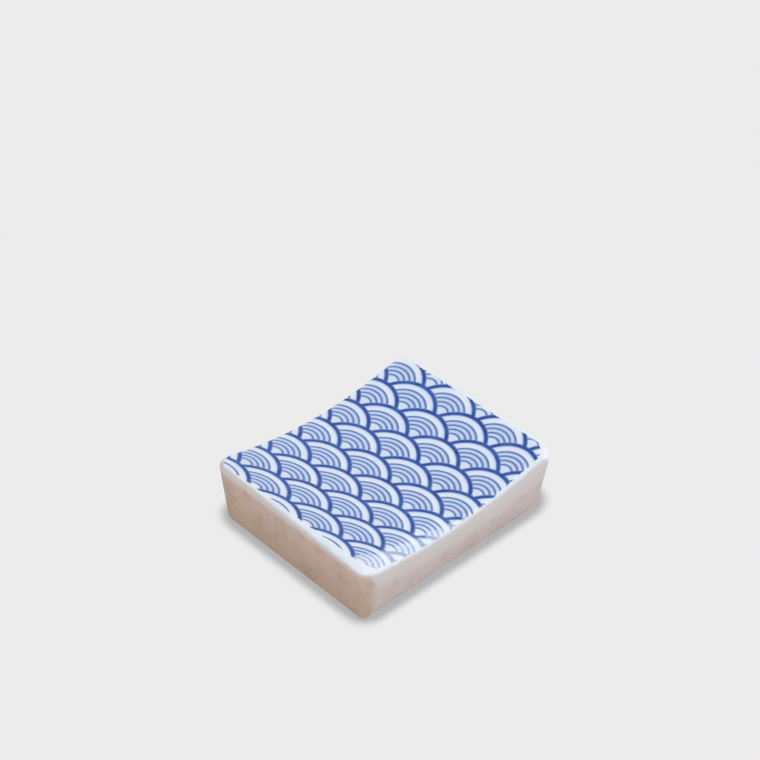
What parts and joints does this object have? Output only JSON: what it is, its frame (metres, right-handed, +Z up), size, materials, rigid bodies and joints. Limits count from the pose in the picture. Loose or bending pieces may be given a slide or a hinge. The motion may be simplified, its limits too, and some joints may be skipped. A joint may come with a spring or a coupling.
{
  "type": "chopstick rest",
  "caption": "Rectangular ceramic chopstick rest with a shallow curved dip, raised ends, softly rolled glazed rim, bare clay sides and a blue overlapping wave print on the top.",
  "frame": {"origin": "centre of the footprint, on the plane that the block stands on", "axes": "+X along the curved length, from one raised end to the other; +Y across the width, along the straight floor of the dip in which the chopsticks lie; +Z up"},
  "size_m": [0.045, 0.0391, 0.0119],
  "materials": {
    "clay": "unglazed fired clay, matt beige with faint mottling and rusty specks low down",
    "glaze": "cool white gloss glaze that thins out on the upper sides",
    "print": "cobalt blue transfer print in faint relief, glossy"
  },
  "bodies": {
    "root": {"ceramic_body": "clay", "glaze_coat": "glaze", "wave_print": "print"}
  },
  "joints": []
}
